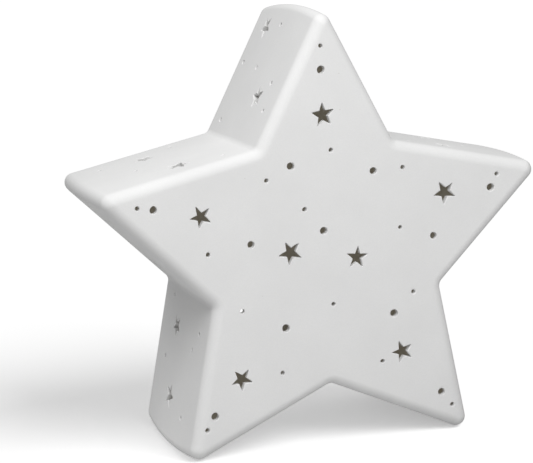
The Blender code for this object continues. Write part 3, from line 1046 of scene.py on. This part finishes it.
def make_foot(settings):
    """The tinned foot that holds the wick upright, with a crimped neck."""
    low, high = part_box("wick_sustainer")
    plate = 0.4 * MM
    neck = 1.3 * MM
    bore = 0.95 * MM
    profile = [
        (bore, low.z),
        (bore, high.z),
        (neck, high.z),
        (neck + 0.05 * MM, low.z + 1.4 * MM),
        (neck + 0.5 * MM, low.z + plate + 0.25 * MM),
        (neck + 1.1 * MM, low.z + plate),
        (high.x - 0.15 * MM, low.z + plate),
        (high.x, low.z + plate / 2),
        (high.x - 0.15 * MM, low.z),
        (bore, low.z),
    ]

    def crimped(radius, height, angle):
        if height <= low.z + 1.8 * MM or radius <= bore + 0.1 * MM:
            return radius, height
        return radius - max(0.0, cos(4 * angle)) * 0.22 * MM, height

    foot = piece_from(lathe(profile, 64, crimped), "crimped_foot")
    smooth(foot.data, 45)
    foot.data.materials.append(metal_material("tinned sheet", settings.tin, 0.34, 1.0))
    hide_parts("wick_sustainer")
    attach(foot, "tealight")


def aimed(direction, roll=0.0):
    """A turn that makes an object's Z point along direction, with its X level, then rolled."""
    back = Vector(direction).normalized()
    right = Vector((0.0, 0.0, 1.0)).cross(back).normalized()
    up = back.cross(right)
    x = right * cos(roll) + up * sin(roll)
    y = up * cos(roll) - right * sin(roll)
    return Matrix((x, y, back)).transposed().to_4x4()


def add_light(light, azimuth, elevation, linked, state):
    """Places a light, aimed at the star's middle from this azimuth (0 is the front) and elevation.

    It lights only the linked object, or everything but that one, as the state says.
    """
    turn, tilt = radians(azimuth), radians(elevation)
    back = Vector((sin(turn) * cos(tilt), -cos(turn) * cos(tilt), sin(tilt)))
    middle = Vector((0.0, 0.0, STAGE_MIDDLE))
    lamp = bpy.data.objects.new(light.name, light)
    lamp.matrix_world = Matrix.Translation(middle + back * LIGHT_DISTANCE) @ aimed(back)
    bpy.context.scene.collection.objects.link(lamp)
    receivers = bpy.data.collections.new(light.name)
    receivers.objects.link(linked)
    receivers.collection_objects[0].light_linking.link_state = state
    lamp.light_linking.receiver_collection = receivers


def soft_sun(name, strength):
    light = bpy.data.lights.new(name, "SUN")
    light.energy = strength
    light.angle = SUN_SPREAD
    return light


def soft_box(name, watts):
    light = bpy.data.lights.new(name, "AREA")
    light.shape = "DISK"
    light.size = SOFT_BOX_SIZE
    light.energy = watts
    return light


def floor_mesh(height, walled):
    """A round floor, facing up; where it is walled, it sweeps up to a wall all round."""
    flat = 2.4
    sweep_radius = 2.2
    steps = 96
    turns = 16
    profile = [(0.0, height), (0.3, height), (0.8, height), (1.6, height)]
    for i in range(turns + 1 if walled else 1):
        angle = pi / 2 * i / turns
        profile.append((flat + sweep_radius * sin(angle), height + sweep_radius * (1 - cos(angle))))
    shape = bmesh.new()
    rows = []
    for radius, z in profile:
        angles = [2 * pi * i / steps for i in range(steps if radius else 1)]
        rows.append([shape.verts.new((radius * cos(a), radius * sin(a), z)) for a in angles])
    for row, after in zip(rows, rows[1:]):
        for i in range(steps):
            j = (i + 1) % steps
            corners = [row[i % len(row)], after[i], after[j], row[j % len(row)]]
            shape.faces.new(list(dict.fromkeys(corners)))
    mesh = bpy.data.meshes.new("floor")
    shape.to_mesh(mesh)
    shape.free()
    mesh.shade_smooth()
    return mesh


def make_stage(settings):
    """A sweep that only the camera sees, a hidden board under it, the lights and the camera."""
    height = centre_height(CAD_BOX[1][1] - CAD_BOX[0][1])
    sweep = piece_from(floor_mesh(0.0, True), "sweep")
    sweep.data.materials.append(sweep_material(settings.floor, settings.floor_glow))
    sweep.visible_diffuse = False
    sweep.visible_glossy = False
    sweep.visible_shadow = False
    board = piece_from(floor_mesh(-BOARD_DROP, False), "board")
    board.data.materials.append(sweep_material(settings.bounce, 0.0))
    board.visible_camera = False

    add_light(soft_box("key", settings.key), -10, 44, sweep, "EXCLUDE")
    add_light(soft_sun("side", settings.side), -100, 60, sweep, "EXCLUDE")
    add_light(soft_sun("sweep_light", settings.sweep_light), 30, 45, sweep, "INCLUDE")
    world = bpy.data.worlds.new("white room")
    world.use_nodes = True
    background = world.node_tree.nodes["Background"]
    background.inputs["Color"].default_value = (1.0, 1.0, 1.0, 1.0)
    background.inputs["Strength"].default_value = settings.room
    scene = bpy.context.scene
    scene.world = world
    scene.view_settings.view_transform = "Standard"

    view = bpy.data.cameras.new("camera")
    view.lens = settings.lens
    view.sensor_width = 36.0
    view.shift_x = -0.0118
    view.shift_y = -0.0837
    camera = bpy.data.objects.new("camera", view)
    spot = Vector(CAMERA_PLACE) + Vector((0.0, 0.0, height))
    level = cos(CAMERA_PITCH)
    back = (sin(CAMERA_YAW) * level, -cos(CAMERA_YAW) * level, sin(CAMERA_PITCH))
    camera.matrix_world = Matrix.Translation(spot) @ aimed(back, CAMERA_ROLL)
    scene.collection.objects.link(camera)
    scene.camera = camera


# --- Operators and panel --------------------------------------------------------------------


class TEALIGHT_OT_star(bpy.types.Operator):
    """Makes the pierced porcelain star"""

    bl_idname = "tealight.star"
    bl_label = "Pierced Star"

    def execute(self, context):
        make_star(context.scene.tealight_star)
        return {"FINISHED"}


class TEALIGHT_OT_shelf(bpy.types.Operator):
    """Makes the shelf inside the star"""

    bl_idname = "tealight.shelf"
    bl_label = "Shelf"

    def execute(self, context):
        make_shelf(context.scene.tealight_star)
        return {"FINISHED"}


class TEALIGHT_OT_cup(bpy.types.Operator):
    """Makes the tealight's aluminium cup"""

    bl_idname = "tealight.cup"
    bl_label = "Cup"

    def execute(self, context):
        make_cup(context.scene.tealight_candle)
        return {"FINISHED"}


class TEALIGHT_OT_wax(bpy.types.Operator):
    """Makes the wax in the cup"""

    bl_idname = "tealight.wax"
    bl_label = "Wax"

    def execute(self, context):
        make_wax(context.scene.tealight_candle)
        return {"FINISHED"}


class TEALIGHT_OT_wick(bpy.types.Operator):
    """Makes the braided wick"""

    bl_idname = "tealight.wick"
    bl_label = "Wick"

    def execute(self, context):
        make_wick(context.scene.tealight_candle)
        return {"FINISHED"}


class TEALIGHT_OT_foot(bpy.types.Operator):
    """Makes the wick's tinned foot"""

    bl_idname = "tealight.foot"
    bl_label = "Wick Foot"

    def execute(self, context):
        make_foot(context.scene.tealight_candle)
        return {"FINISHED"}


class TEALIGHT_OT_stage(bpy.types.Operator):
    """Sets out the floor, the lights and the camera"""

    bl_idname = "tealight.stage"
    bl_label = "Stage"

    def execute(self, context):
        make_stage(context.scene.tealight_stage)
        return {"FINISHED"}


OPERATORS = (
    TEALIGHT_OT_star, TEALIGHT_OT_shelf, TEALIGHT_OT_cup, TEALIGHT_OT_wax, TEALIGHT_OT_wick,
    TEALIGHT_OT_foot, TEALIGHT_OT_stage,
)


class TEALIGHT_PT_panel(bpy.types.Panel):
    """Lists the pieces of the tealight holder"""

    bl_idname = "TEALIGHT_PT_panel"
    bl_label = "Tealight Star"
    bl_space_type = "VIEW_3D"
    bl_region_type = "UI"
    bl_category = "Tealight Star"

    def draw(self, context):
        for operator in OPERATORS:
            self.layout.operator(operator.bl_idname)


CLASSES = (StarSettings, TealightSettings, StageSettings, *OPERATORS, TEALIGHT_PT_panel)


def register():
    for item in CLASSES:
        bpy.utils.register_class(item)
    bpy.types.Scene.tealight_star = PointerProperty(type=StarSettings)
    bpy.types.Scene.tealight_candle = PointerProperty(type=TealightSettings)
    bpy.types.Scene.tealight_stage = PointerProperty(type=StageSettings)


def unregister():
    del bpy.types.Scene.tealight_stage
    del bpy.types.Scene.tealight_candle
    del bpy.types.Scene.tealight_star
    for item in reversed(CLASSES):
        bpy.utils.unregister_class(item)


def main():
    register()
    bpy.ops.tealight.star()
    bpy.ops.tealight.shelf()
    bpy.ops.tealight.cup()
    bpy.ops.tealight.wax()
    bpy.ops.tealight.wick()
    bpy.ops.tealight.foot()
    bpy.ops.tealight.stage()


if __name__ == "__main__":
    main()
